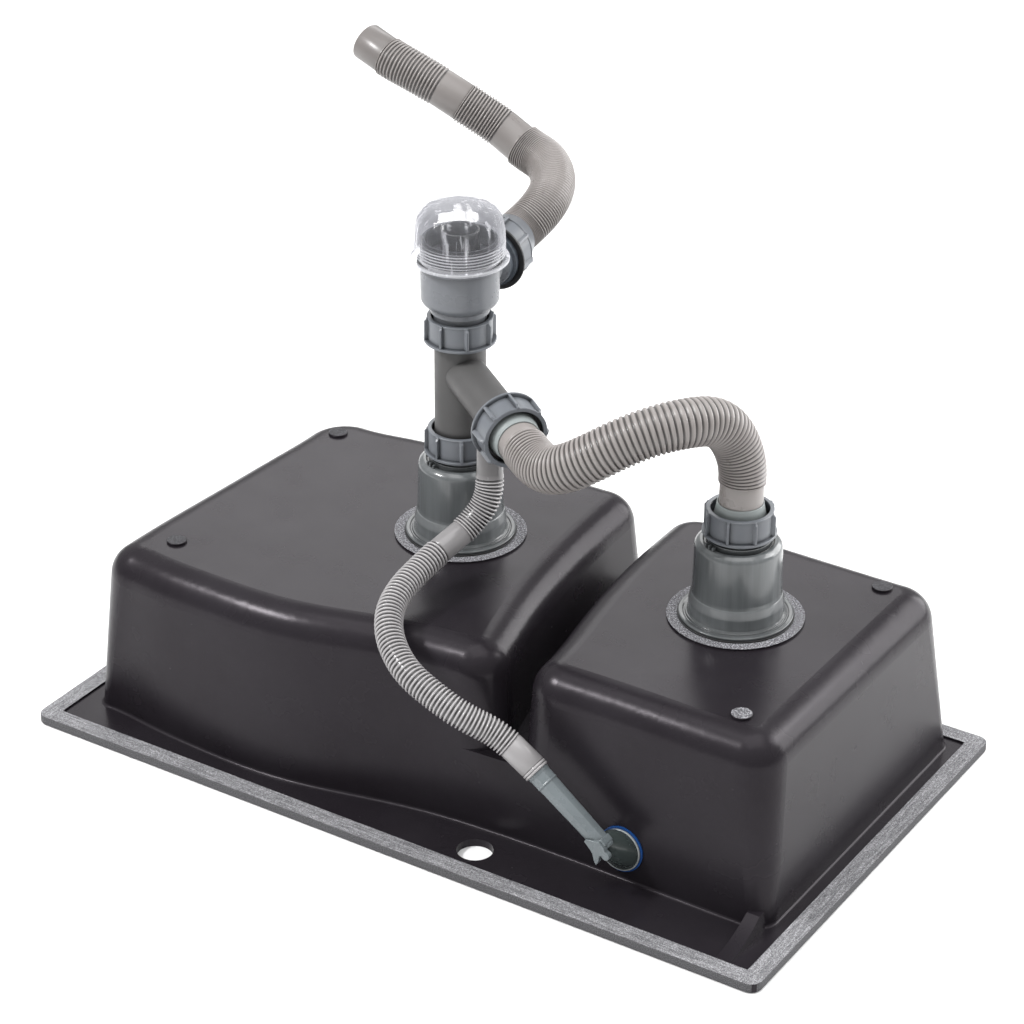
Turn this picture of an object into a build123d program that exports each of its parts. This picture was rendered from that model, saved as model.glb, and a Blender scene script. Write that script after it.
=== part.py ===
from build123d import *
import math
import os

os.makedirs("parts", exist_ok=True)

# ---------------------------------------------------------------------------
# Double bowl kitchen sink with its waste kit, turned over on its rim.
# Millimetres.  z = 0 is the top face of the rim (the plane it lies on), +Z
# points to the waste side, X runs along the sink, -Y is the tap-ledge side.
# The origin is the centre of the rim rectangle.
# ---------------------------------------------------------------------------

# --- moulded sink ----------------------------------------------------------
RIM_L, RIM_W = 820.0, 480.0      # rim rectangle
RIM_R = 12.0                     # rim corner radius
RIM_T = 10.0                     # height of the ground band under the rim
BAND_W = 19.0                    # width of that band
DECK_T = 8.0                     # deck thickness inside the band
BOWL_Z = 190.0                   # outside of the bowl bottoms
WALL = 8.0                       # wall thickness
VALLEY_Z = 88.0                  # floor of the valley between the bowls
TOP_FILLET = 31.0                # outside bottom edge radius
SLOT_CORNER = 35.0               # corners where the valley leaves the bowls
PAD_R, PAD_H = 65.5, 2.0         # raised pad round each waste hole
HOLE_R = 46.0                    # waste hole
RECESS_R, RECESS_H = 58.5, 3.0   # recess in the bowl floor for the flange
STUD_R, STUD_H = 10.0, 2.5       # ground studs on the bowl bottoms
TAP = (86.0, -195.5, 17.5)       # tap hole centre and radius

# --- waste positions -------------------------------------------------------
D1 = (-83.0, 36.3)               # large bowl waste axis
D2 = (224.0, 42.0)               # small bowl waste axis

# --- strainer and cup ------------------------------------------------------
CUP_Z = BOWL_Z + PAD_H           # underside of the cup gasket
CUP_FLANGE_R = 54.5
CUP_LOW_R, CUP_UP_R, CUP_TOP_R = 45.5, 42.4, 41.4
SHOULDER_Z = 272.0
NECK_R, NECK_BORE = 29.3, 26.0   # threaded neck
PIPE_R, PIPE_T = 25.0, 2.2       # tee pipe
BRANCH_R = 20.6                  # side branch of the tee

# --- coupling nuts ---------------------------------------------------------
NUT_H = 25.5
NUT_LIP_R, NUT_BODY_R, NUT_TOP_R = 35.2, 31.6, 32.6
NUT_BORE, NUT_MOUTH = 29.8, 27.6
NUT_RIBS = 8

# --- axes of the side ports ------------------------------------------------
BRANCH_AZ, BRANCH_FALL, BRANCH_Z = 124.5, 4.4, 369.9   # from +Y towards +X
OUTLET_AZ, OUTLET_RISE, OUTLET_Z = -6.0, 3.7, 456.0

# --- hoses -----------------------------------------------------------------
HOSE_R, HOSE_BORE = 20.8, 18.2   # 41.6 mm connecting and outlet hose
OVER_R, OVER_BORE = 12.9, 10.5   # 25.8 mm overflow hose

CONNECTING_ROUTE = [
    (20.5, -34.9, 360.3), (49.0, -54.4, 357.6), (77.1, -70.7, 353.3),
    (102.2, -76.1, 361.4), (127.5, -67.8, 377.5), (151.6, -52.4, 393.9),
    (174.6, -33.6, 404.9), (195.3, -11.0, 408.5), (208.4, 16.5, 402.7),
    (216.2, 36.3, 381.3), (224.5, 43.7, 350.5), (224.0, 42.0, 318.1),
    (224.0, 42.0, 288.0)]
OVERFLOW_ROUTE = [
    (-21.4, -6.1, 322.0), (-21.4, -6.1, 300.3), (-16.6, -13.7, 269.5),
    (-26.4, -32.2, 245.2), (-38.0, -63.5, 231.4), (-41.9, -95.4, 222.6),
    (-42.4, -125.1, 216.6), (-36.8, -154.0, 208.8), (-21.8, -177.7, 199.8),
    (-0.4, -195.1, 190.2), (22.0, -205.3, 181.6), (49.6, -207.4, 170.6),
    (77.7, -204.3, 157.3), (114.1, -186.0, 136.9), (147.9, -186.0, 112.0)]
OUTLET_ROUTE = [
    (-91.8, 119.7, 461.4), (-95.1, 151.0, 463.5), (-83.5, 181.0, 481.0),
    (-86.2, 210.2, 496.4), (-107.8, 233.2, 508.2), (-139.6, 239.1, 514.3),
    (-163.9, 237.2, 530.3), (-191.1, 227.5, 547.1), (-220.0, 218.8, 564.4),
    (-251.2, 212.2, 578.7), (-282.8, 209.1, 589.3), (-312.0, 213.1, 599.3)]


# ---------------------------------------------------------------------------
# helpers
# ---------------------------------------------------------------------------
def save(shape, name):
    """write one piece"""
    solids = shape.solids()
    body = solids[0] if len(solids) == 1 else Compound(children=list(solids))
    export_step(body, "parts/%s.step" % name)
    print("%-24s solids %d volume %.1f" % (name, len(solids), sum(s.volume for s in solids)))
    return shape


def rounded(corners):
    """closed face through (x, y, radius) corners, runs joined by tangent arcs"""
    pts = [Vector(c[0], c[1], 0) for c in corners]
    rad = [c[2] if len(c) > 2 else 0.0 for c in corners]
    n = len(pts)
    knots = []
    for i in range(n):
        ua = (pts[i - 1] - pts[i]).normalized()
        ub = (pts[(i + 1) % n] - pts[i]).normalized()
        if rad[i] > 0:
            half = math.radians(ua.get_angle(ub)) / 2
            t = rad[i] / math.tan(half)
            bis = (ua + ub).normalized()
            centre = pts[i] + bis * (rad[i] / math.sin(half))
            knots.append((pts[i] + ua * t, centre - bis * rad[i], pts[i] + ub * t))
        else:
            knots.append((pts[i], None, pts[i]))
    edges = []
    for i in range(n):
        s, m, e = knots[i]
        if m is not None:
            edges.append(ThreePointArc(s, m, e))
        nxt = knots[(i + 1) % n][0]
        if (nxt - e).length > 1e-5:
            edges.append(Line(e, nxt))
    return make_face(edges)


def turned(corners):
    """solid of revolution about Z from a closed (r, z, radius) profile"""
    return revolve(Plane.XZ * rounded(corners), axis=Axis.Z)


def ring(r_out, r_in, z0, z1):
    return turned([(r_in, z0), (r_out, z0), (r_out, z1), (r_in, z1)])


def rod(r, z0, z1):
    return Pos(0, 0, z0) * Cylinder(r, z1 - z0, align=(Align.CENTER, Align.CENTER, Align.MIN))


def along(origin, direction):
    """location whose +Z points along direction"""
    return Plane(origin=origin, z_dir=direction).location


def direction(az, rise):
    a, t = math.radians(az), math.radians(rise)
    return Vector(math.sin(a) * math.cos(t), math.cos(a) * math.cos(t), math.sin(t))


# ---------------------------------------------------------------------------
# moulded sink body
# ---------------------------------------------------------------------------
# stations (x, y) of the walls at the rim and at the bowl bottoms, one to one;
# the near wall carries the S-shaped bulge of the large bowl
NEAR_BASE = [(-304, -192.5), (-236, -199.0), (-174, -200.5), (-118, -195.5), (-50, -180.8),
             (18, -168.0), (71, -163.4), (130, -161.2), (215, -161.0)]
NEAR_TOP = [(-296, -193.5), (-233, -196.0), (-168, -195.5), (-118, -188.5), (-62, -173.0),
            (0, -159.0), (60, -153.5), (130, -149.5), (212, -148.0)]
FAR_BASE = [(215, 215.0), (130, 215.8), (60, 216.0), (-22, 214.0), (-119, 209.0), (-240, 203.0)]
FAR_TOP = [(210, 199.5), (130, 202.0), (60, 207.5), (-22, 209.0), (-119, 204.5), (-240, 192.5)]
LEFT_BASE = [(-367.5, 61.0), (-370.5, -15.0), (-372.5, -88.0)]
LEFT_TOP = [(-346.0, 61.0), (-350.5, -15.0), (-355.4, -88.0)]
# left near x, left far x, right x, near left y, near right y, far left y, far right y
CORNERS_BASE = (-373.5, -364.0, 378.0, -186.5, -162.5, 203.0, 215.0)
CORNERS_TOP = (-357.5, -342.5, 365.0, -190.8, -149.5, 184.5, 198.5)
# corner radii: near left, near right, far right, far left
RADII_BASE = (13.0, 20.0, 14.0, 24.0)
RADII_TOP = (36.0, 37.0, 39.0, 54.0)


def between(a, b, f):
    if isinstance(a, (list, tuple)):
        return [between(p, q, f) for p, q in zip(a, b)]
    return a + (b - a) * f


def bowl_outline(f, inset, z):
    """outline of both bowls together, f from 0 at the rim to 1 at the bottoms,
    moved inwards by inset"""
    xn, xf, x1, y0, y1, yl, yr = between(CORNERS_BASE, CORNERS_TOP, f)
    xn, xf, x1, y0, y1, yl, yr = xn + inset, xf + inset, x1 - inset, y0 + inset, y1 + inset, yl - inset, yr - inset
    rnl, rnr, rfr, rfl = [max(r - inset, 5.0) for r in between(RADII_BASE, RADII_TOP, f)]
    near = [(x, y + inset) for x, y in between(NEAR_BASE, NEAR_TOP, f)]
    far = [(x, y - inset) for x, y in between(FAR_BASE, FAR_TOP, f)]
    left = [(x + inset, y) for x, y in between(LEFT_BASE, LEFT_TOP, f)]
    k = 1 - math.sqrt(0.5)
    nl0, nl1 = (xn, y0 + rnl), (xn + rnl, y0)
    nr0, nr1 = (x1 - rnr, y1), (x1, y1 + rnr)
    fr0, fr1 = (x1, yr - rfr), (x1 - rfr, yr)
    fl0, fl1 = (xf + rfl, yl), (xf, yl - rfl)
    edges = [
        Spline([nl1] + near + [nr0], tangents=[(1, 0), (1, 0)]),
        ThreePointArc(nr0, (x1 - rnr * k, y1 + rnr * k), nr1),
        Line(nr1, fr0),
        ThreePointArc(fr0, (x1 - rfr * k, yr - rfr * k), fr1),
        Spline([fr1] + far + [fl0], tangents=[(-1, 0), (-1, 0)]),
        ThreePointArc(fl0, (xf + rfl * k, yl - rfl * k), fl1),
        Spline([fl1] + left + [nl0], tangents=[(0, -1), (0, -1)]),
        ThreePointArc(nl0, (xn + rnl * k, y0 + rnl * k), nl1),
    ]
    return Pos(0, 0, z) * make_face(edges)


def valley_outline(grow, z, lean=0.0):
    """plan of the valley between the bowls, side walls moved out by grow;
    lean narrows it from the left, most at the far end"""
    left = [(96, -232), (84, -165), (77, -130), (66, -85), (53, -35), (41, 29), (32, 100), (27, 165), (22, 236)]
    right = [(114, -232), (109, -165), (106, -130), (101, -85), (92, -35), (82, 29), (75, 100), (73, 165), (72, 236)]
    lf = [(x - grow + lean * min(1.0, max(0.0, (y + 60.0) / 260.0)), y) for x, y in left]
    rt = [(x + grow, y) for x, y in right]
    edges = [Spline(lf), Line(lf[-1], rt[-1]), Spline(rt[::-1]), Line(rt[0], lf[0])]
    return Pos(0, 0, z) * make_face(edges)


def bowls(inset, z_floor, z_top, z_valley, valley_corner, top_fillet):
    """one closed block with both bowls' shape"""
    def at(z):
        return bowl_outline(z / BOWL_Z, inset, z)
    block = loft([at(z_floor), at(z_top)], ruled=True)
    tool = loft([valley_outline(-4.0 + inset, z_valley, 8.0), valley_outline(1.0 + inset, z_top + 6)], ruled=True)
    block = block - tool
    # corners where the valley meets the outer walls
    verticals = [e for e in block.edges()
                 if abs(e.bounding_box().size.Z) > 60 and -20 < e.center().X < 140
                 and abs(abs(e.center().Y) - 178) < 45]
    block = fillet(verticals, valley_corner)
    top = [f for f in block.faces() if abs(f.center().Z - z_top) < 0.01 and f.normal_at().Z > 0.9]
    edges = []
    for f in top:
        edges += list(f.outer_wire().edges())
    block = fillet(edges, top_fillet)
    return block


outer = bowls(0.0, 2.0, BOWL_Z, VALLEY_Z, SLOT_CORNER, TOP_FILLET)
print("outer bowls", outer.is_valid, round(outer.volume))
inner = bowls(WALL, -2.0, BOWL_Z - WALL, VALLEY_Z - WALL, SLOT_CORNER - WALL, TOP_FILLET - WALL)
print("inner bowls", inner.is_valid, round(inner.volume))

h_l, h_w = RIM_L / 2, RIM_W / 2
deck = extrude(rounded([(-h_l, -h_w, RIM_R), (h_l, -h_w, RIM_R), (h_l, h_w, RIM_R), (-h_l, h_w, RIM_R)]), RIM_T)
deck = fillet(deck.edges().group_by(Axis.Z)[0], 2.5)
deck = fillet([e for e in deck.edges() if abs(e.center().Z - RIM_T) < 0.01], 0.8)
r_in = RIM_R - 8
recess = Pos(0, 0, DECK_T) * extrude(
    rounded([(-h_l + BAND_W, -h_w + BAND_W, r_in), (h_l - BAND_W, -h_w + BAND_W, r_in),
             (h_l - BAND_W, h_w - BAND_W, r_in), (-h_l + BAND_W, h_w - BAND_W, r_in)]), RIM_T)
deck = deck - recess
sink = deck + outer
base_line = [e for e in sink.edges()
             if abs(e.center().Z - DECK_T) < 0.02 and e.bounding_box().size.Z < 0.02
             and abs(e.center().X) < 385 and abs(e.center().Y) < 216]
try:
    sink = fillet(base_line, 3.0)
except Exception as err:
    print("base fillet skipped", err)

# gusset fin at the near right corner, from the bowl wall down to the band, with its outer side drafted
GUSSET_X, GUSSET_W = 363.5, 12.0
fin = make_face([Line((-222.0, 7.0), (-222.0, 9.0)),
                 ThreePointArc((-222.0, 9.0), (-190.0, 13.5), (-163.0, 24.0)),
                 Line((-163.0, 24.0), (-138.0, 26.5)), Line((-138.0, 26.5), (-138.0, 7.0)),
                 Line((-138.0, 7.0), (-222.0, 7.0))])
fin = extrude(Plane(origin=(GUSSET_X - GUSSET_W / 2, 0, 0), x_dir=(0, 1, 0), z_dir=(1, 0, 0)) * fin, GUSSET_W + 6.0)
side = make_face([Line((GUSSET_X + 9.5, 6.0), (GUSSET_X + 4.6, 40.0)), Line((GUSSET_X + 4.6, 40.0), (GUSSET_X + 30.0, 40.0)),
                  Line((GUSSET_X + 30.0, 40.0), (GUSSET_X + 30.0, 6.0)), Line((GUSSET_X + 30.0, 6.0), (GUSSET_X + 9.5, 6.0))])
fin = fin - extrude(Plane(origin=(0, -240.0, 0), x_dir=(1, 0, 0), z_dir=(0, -1, 0)) * side, -120.0)
sink = sink + fin
for x, y in (D1, D2):
    sink = sink + Pos(x, y, 0) * rod(PAD_R, BOWL_Z - 4, BOWL_Z + PAD_H)
for x, y in ((-306.0, 141.0), (-304.0, -134.0), (316.5, 164.0), (314.6, -109.0)):
    sink = sink + Pos(x, y, 0) * turned([(0, BOWL_Z - 3), (STUD_R, BOWL_Z - 3), (STUD_R, BOWL_Z + STUD_H, 0.8),
                                         (0, BOWL_Z + STUD_H)])
sink = sink - inner
for x, y in (D1, D2):
    sink = sink - Pos(x, y, 0) * rod(HOLE_R, BOWL_Z - 30, BOWL_Z + 20)
    sink = sink - Pos(x, y, 0) * rod(RECESS_R, BOWL_Z - WALL - 12, BOWL_Z - WALL + RECESS_H)
sink = sink - Pos(TAP[0], TAP[1], 0) * rod(TAP[2], -5, 20)
mouth = [e for e in sink.edges() if abs(e.center().Z) < 0.02 and e.bounding_box().size.Z < 0.02
         and abs(e.center().X) < 380 and abs(e.center().Y) < 210
         and not (abs(e.center().X - TAP[0]) < 19 and abs(e.center().Y - TAP[1]) < 19)]
try:
    sink = fillet(mouth, 5.0)
except Exception as err:
    print("mouth fillet skipped", err)
print("sink", sink.is_valid, len(sink.solids()), round(sink.volume))

# overflow hole through the small bowl's near wall
OVER = Vector(223.0, -158.4, 40.0)          # on the outside face of the wall
WALL_N = Vector(0, -math.cos(math.radians(3.9)), -math.sin(math.radians(3.9)) * -1)  # outward normal
sink = sink - along(OVER, WALL_N) * Pos(0, 0, -30) * Cylinder(11.5, 60)
save(sink, "sink_body")


# ---------------------------------------------------------------------------
# waste of each bowl
# ---------------------------------------------------------------------------
def waste(name, x, y, spin):
    at = Pos(x, y, 0) * Rot(0, 0, spin)
    floor = BOWL_Z - WALL + RECESS_H          # seat of the flange in the recess
    # steel strainer dish with its flange in the recess of the bowl floor
    dish = turned([(41.8, floor - 2.6, 0.5), (57.0, floor - 2.6, 0.4), (57.0, floor - 1.2, 0.3), (44.2, floor - 1.2, 0.4),
                   (43.0, floor + 2.0, 0.8), (40.8, floor + 21.0, 3.0), (9.0, floor + 23.0), (3.3, floor + 23.0),
                   (3.3, floor + 21.4), (9.0, floor + 21.4), (39.2, floor + 19.4, 2.5), (41.4, floor + 1.0, 0.8)])
    holes = [Pos(r * math.cos(a), r * math.sin(a), floor + 21) * Cylinder(2.6, 12)
             for r, n in ((16.0, 8), (25.0, 12), (33.0, 16))
             for a in [2 * math.pi * i / n for i in range(n)]]
    dish = dish - holes
    save(at * dish, name + "_strainer_flange")
    save(at * ring(56.0, 47.0, floor - 1.2, floor), name + "_flange_gasket")
    save(at * turned([(46.6, CUP_Z), (55.5, CUP_Z, 0.4), (55.5, CUP_Z + 1.6, 0.4), (46.6, CUP_Z + 1.6)]),
         name + "_cup_gasket")
    # plastic strainer cup
    z = CUP_Z + 1.6
    cup = turned([
        (43.6, z), (CUP_FLANGE_R, z, 0.5), (CUP_FLANGE_R, z + 2.4, 0.8), (50.4, z + 2.6, 0.3), (49.6, z + 1.8, 0.3),
        (48.0, z + 1.8, 0.3), (47.2, z + 3.4, 0.4), (CUP_LOW_R, z + 3.6, 0.8), (CUP_LOW_R, 218.5, 1.0),
        (CUP_UP_R + 0.6, 226.0, 2.0), (CUP_TOP_R, SHOULDER_Z - 2.0, 7.5), (33.0, SHOULDER_Z + 3.0, 2.0),
        (31.4, SHOULDER_Z + 4.2, 0.4), (NECK_R, SHOULDER_Z + 4.2, 0.4), (NECK_R, 294.0, 0.5), (NECK_BORE, 294.0, 0.5),
        (NECK_BORE, 283.0), (23.6, 282.0), (23.6, 276.5), (30.0, SHOULDER_Z - 0.6, 3.0),
        (CUP_TOP_R - 2.8, SHOULDER_Z - 5.5, 5.0), (CUP_UP_R - 2.4, 226.0, 2.0), (43.6, 218.0, 1.0)])
    # inner spider that carries the screw hub
    hub = ring(7.0, 2.6, 216.0, 232.0)
    arms = [Rot(0, 0, 90 * i + 45) * Pos(24.5, 0, 224.0) * Box(38.0, 2.4, 10.0) for i in range(4)]
    for a in arms:
        hub = hub + a
    hub = hub & rod(41.4, 205, 245)
    cup = cup + hub
    # small stop lugs beside the neck
    for a in (0, 8, 16):
        cup = cup + Rot(0, 0, a) * Pos(35.0, 0, SHOULDER_Z + 2.6) * Box(3.0, 1.6, 4.6)
    save(at * cup, name + "_strainer_cup")
    # centre screw from inside the bowl into the hub
    seat = floor + 21.1
    head = turned([(0, seat - 2.6), (4.6, seat - 2.6, 0.8), (6.4, seat - 1.0, 0.5), (6.4, seat), (2.3, seat),
                   (2.3, 229.0, 0.6), (0, 229.0)])
    slot = Pos(0, 0, seat - 2.6) * Box(1.4, 9.5, 2.4)
    save(at * (head - slot), name + "_centre_screw")
    # lift-out basket, its seal and its knob
    b = floor + 2.6
    pot = turned([(0, b + 14.8), (6.0, b + 14.8), (8.0, b + 15.2), (30.0, b + 15.2, 3.0), (34.6, b - 0.6, 1.0), (38.8, b - 1.0, 0.4), (38.8, b - 2.2, 0.4),
                  (33.4, b - 2.0, 1.0), (28.8, b + 13.6, 2.0), (0, b + 13.6)])
    sl = []
    for r, n in ((8.0, 6), (15.5, 12), (22.5, 16)):
        sl += [Pos(r * math.cos(a), r * math.sin(a), b + 14.4) * Cylinder(2.0, 8)
               for a in [2 * math.pi * (i + 0.5) / n for i in range(n)]]
    for i in range(18):
        sl.append(Rot(0, 0, 20 * i) * Pos(32.4, 0, b + 7.0) * Rot(0, 76, 0) * Cylinder(1.7, 10))
    pot = pot - sl
    save(at * pot, name + "_basket")
    save(at * turned([(8.0, b + 15.5), (18.0, b + 15.5, 0.5), (16.5, b + 17.6, 0.6), (8.0, b + 17.6)]), name + "_basket_seal")
    knob = turned([(0, b - 6.0), (9.0, b - 6.0, 1.6), (9.0, b - 2.6, 1.2), (4.0, b - 0.6, 1.6), (3.4, b + 8.0, 1.0),
                   (7.0, b + 13.3, 0.6), (0, b + 13.3)])
    save(at * knob, name + "_basket_knob")


waste("large", D1[0], D1[1], 205.0)
waste("small", D2[0], D2[1], 205.0)


# ---------------------------------------------------------------------------
# coupling nut: lip at z = 0, mouth at z = NUT_H
# ---------------------------------------------------------------------------
def nut(bore=NUT_BORE, mouth=NUT_MOUTH, lip_bore=None, cone=False):
    body = [(lip_bore or bore, 0.0, 0.4), (NUT_LIP_R - 0.4, 0.0, 0.5), (NUT_LIP_R, 2.6, 0.6), (NUT_BODY_R + 0.6, 3.2, 0.4),
            (NUT_BODY_R, NUT_H - 3.2, 0.4), (NUT_TOP_R - 0.4, NUT_H - 2.6, 0.4), (NUT_TOP_R - 0.4, NUT_H, 0.6)]
    if cone:
        body += [(24.4, NUT_H + 20.0, 0.8), (mouth, NUT_H + 20.0, 0.4), (mouth, NUT_H + 16.0, 0.4),
                 (bore, NUT_H - 4.0, 0.4)]
    else:
        body += [(mouth, NUT_H, 0.5), (mouth, NUT_H - 4.0, 0.3), (bore, NUT_H - 4.6)]
    shape = turned(body)
    # ratchet-shaped grip ribs
    h = NUT_H - 0.2
    for i in range(NUT_RIBS):
        a0 = 360.0 / NUT_RIBS * i
        steps = [(NUT_BODY_R - 1.0, a0), (NUT_TOP_R + 0.2, a0 - 15.0), (NUT_LIP_R - 0.9, a0 - 1.2), (NUT_LIP_R - 0.9, a0 + 1.2),
                 (NUT_BODY_R - 1.0, a0 + 3.0)]
        pts = [(r * math.cos(math.radians(a)), r * math.sin(math.radians(a))) for r, a in
               [(NUT_BODY_R - 1.2, a0 + 3.4), (NUT_LIP_R - 0.7, a0 + 1.4), (NUT_LIP_R - 0.7, a0 - 1.4),
                (NUT_BODY_R - 1.2, a0 - 4.5)]]
        rib = extrude(Pos(0, 0, 1.0) * make_face([Line(pts[0], pts[1]), Line(pts[1], pts[2]), Line(pts[2], pts[3]),
                                                  Line(pts[3], pts[0])]), h - 1.0)
        shape = shape + rib
    return shape


branch_dir = direction(BRANCH_AZ, -BRANCH_FALL)
outlet_dir = direction(OUTLET_AZ, OUTLET_RISE)
branch_o = Vector(D1[0], D1[1], BRANCH_Z)
outlet_o = Vector(D1[0], D1[1], OUTLET_Z)
BRANCH_LIP, OUTLET_LIP = 113.0, 65.0
LOW_NUT_Z, UP_NUT_Z = 280.9, 400.2

up = nut()
save(Pos(D1[0], D1[1], LOW_NUT_Z) * Rot(0, 0, 30) * up, "lower_tee_nut")
save(Pos(D2[0], D2[1], LOW_NUT_Z) * Rot(0, 0, 8) * up, "small_outlet_nut")
save(Pos(D1[0], D1[1], UP_NUT_Z) * Rot(0, 0, 12) * up, "upper_tee_nut")
save(along(branch_o + branch_dir * BRANCH_LIP, branch_dir) * Rot(0, 0, 10) * up, "branch_nut")
save(along(outlet_o + outlet_dir * OUTLET_LIP, outlet_dir) * Rot(0, 0, 0) * nut(cone=True, mouth=22.7), "trap_outlet_nut")

# sealing cones inside the nuts
cone50 = turned([(PIPE_R + 0.1, 0), (NECK_R - 0.4, 0, 0.3), (NECK_R - 0.4, 2.0), (PIPE_R + 1.8, 6.2, 0.3), (PIPE_R + 0.1, 6.2)])
save(Pos(D1[0], D1[1], 294.1) * cone50, "lower_cone_seal")
cone51 = turned([(25.7, 0), (NECK_R - 0.4, 0, 0.3), (NECK_R - 0.4, 1.8), (26.9, 5.0, 0.3), (25.7, 5.0)])
save(Pos(D1[0], D1[1], 415.7) * cone51, "upper_cone_seal")

# ---------------------------------------------------------------------------
# tee between the large cup and the trap, with the side branch
# ---------------------------------------------------------------------------
TEE_Z0, TEE_Z1 = 284.0, 415.6
tee_out = Pos(D1[0], D1[1], 0) * turned([(0, TEE_Z0), (PIPE_R, TEE_Z0, 0.6), (PIPE_R, 399.0), (NECK_R, 402.5, 0.5), (NECK_R, TEE_Z1, 0.5), (0, TEE_Z1)])
branch_out = along(branch_o, branch_dir) * turned(
    [(0, 0), (BRANCH_R, 0), (BRANCH_R, 111.0), (NECK_R, 115.5, 0.5), (NECK_R, 129.0, 0.5), (0, 129.0)])
SPIGOT = branch_o + branch_dir * 75.0
spigot_out = Pos(SPIGOT.X, SPIGOT.Y, 0) * turned(
    [(0, 300.0), (9.6, 300.0, 0.5), (10.2, 318.0), (10.2, 322.2), (12.6, 322.6, 0.4), (12.6, 326.0, 0.4), (10.8, 327.0), (10.8, 360.0), (0, 360.0)])
tee = tee_out + branch_out + spigot_out
tee_in = Pos(D1[0], D1[1], 0) * turned([(0, TEE_Z0 - 2), (PIPE_R - PIPE_T, TEE_Z0 - 2), (PIPE_R - PIPE_T, 403.0), (25.9, 405.0), (25.9, TEE_Z1 + 2), (0, TEE_Z1 + 2)])
branch_in = along(branch_o, branch_dir) * turned(
    [(0, 0), (BRANCH_R - 2.2, 0), (BRANCH_R - 2.2, 112.0), (24.9, 116.0), (24.9, 131.0), (0, 131.0)])
spigot_in = Pos(SPIGOT.X, SPIGOT.Y, 0) * rod(8.2, 298.0, 362.0)
tee = tee - tee_in - branch_in - spigot_in
# fine moulding bead where the branch leaves the pipe
save(tee, "tee_pipe")

# rubber sleeves round the hose ends
sleeve = turned([(21.0, 0.0), (24.6, 0.0, 0.4), (24.4, 12.0, 0.6), (22.4, 21.0, 0.6), (22.3, 25.0, 0.5), (21.0, 25.0)])
save(along(branch_o + branch_dir * 121.0, branch_dir) * sleeve, "branch_sleeve")
save(Pos(D2[0], D2[1], 288.0) * sleeve, "small_outlet_sleeve")

# ---------------------------------------------------------------------------
# trap: body with side outlet, standpipe, clear clean-out cup
# ---------------------------------------------------------------------------
trap_out = turned([
    (0, 406.0), (25.5, 406.0, 0.6), (25.5, 430.5), (28.6, 431.0, 0.4), (28.6, 436.0, 0.4), (31.0, 438.2, 1.5), (37.6, 441.0, 7.5),
    (37.9, 478.5), (41.0, 479.6, 0.5), (41.0, 482.0, 0.4), (36.2, 482.0, 0.3), (36.2, 499.0, 0.6), (0, 499.0)])
port_out = along(outlet_o, outlet_dir) * turned(
    [(0, 0), (20.8, 0), (20.8, 48.0), (26.0, 54.0, 1.0), (26.0, 60.0), (NECK_R, 61.0, 0.4), (NECK_R, 82.0, 0.5), (0, 82.0)])
trap_in = turned([
    (0, 400.0), (22.6, 400.0), (22.6, 437.0), (29.0, 441.0, 2.0), (34.6, 446.0, 6.0), (34.9, 477.0), (33.4, 480.0), (33.4, 502.0),
    (0, 502.0)])
port_in = along(outlet_o, outlet_dir) * turned(
    [(0, 20.0), (18.2, 20.0), (18.2, 60.0), (25.6, 66.0), (25.6, 90.0), (0, 90.0)])
# inner floor that carries the standpipe
shelf = ring(34.4, 18.9, 484.0, 487.0) - Pos(-16, 0, 485) * Box(14, 44, 8)
body = Pos(D1[0], D1[1], 0) * trap_out + port_out
body = body - Pos(D1[0], D1[1], 0) * trap_in - port_in
body = body + Pos(D1[0], D1[1], 0) * shelf
for i in range(3):
    body = body + Pos(D1[0], D1[1], 0) * turned(
        [(35.6, 485.4 + 4.4 * i), (37.0, 486.3 + 4.4 * i), (37.0, 487.0 + 4.4 * i), (35.6, 487.9 + 4.4 * i)])
save(body, "trap_body")
save(Pos(D1[0], D1[1], 0) * turned([(16.4, 478.0), (18.7, 478.0), (18.7, 515.0, 0.8), (16.4, 515.0, 0.8)]), "trap_standpipe")
save(Pos(D1[0], D1[1], 0) * ring(40.6, 37.5, 482.4, 484.0), "trap_cup_seal")
cup_out = turned([
    (0, 484.2), (46.2, 484.2, 1.0), (46.2, 486.7, 1.2), (42.6, 490.5, 2.5), (41.2, 505.0), (38.8, 522.0), (35.0, 533.0, 9.0), (23.0, 538.2, 8.0),
    (0, 538.6)])
cup_in = turned([
    (0, 480.0), (37.6, 480.0), (37.6, 503.0, 0.8), (38.6, 506.0), (36.6, 521.4), (33.2, 531.0, 8.0), (22.0, 535.8, 7.0), (0, 536.2)])
clear = cup_out - cup_in
save(Pos(D1[0], D1[1], 0) * clear, "trap_cup")
save(along(outlet_o + outlet_dir * 82.1, outlet_dir) * turned(
    [(21.0, 0.0), (NECK_R - 0.2, 0.0, 0.3), (NECK_R - 0.2, 3.0), (26.6, 8.0, 0.3), (21.0, 8.0)]), "trap_outlet_seal")

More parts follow.
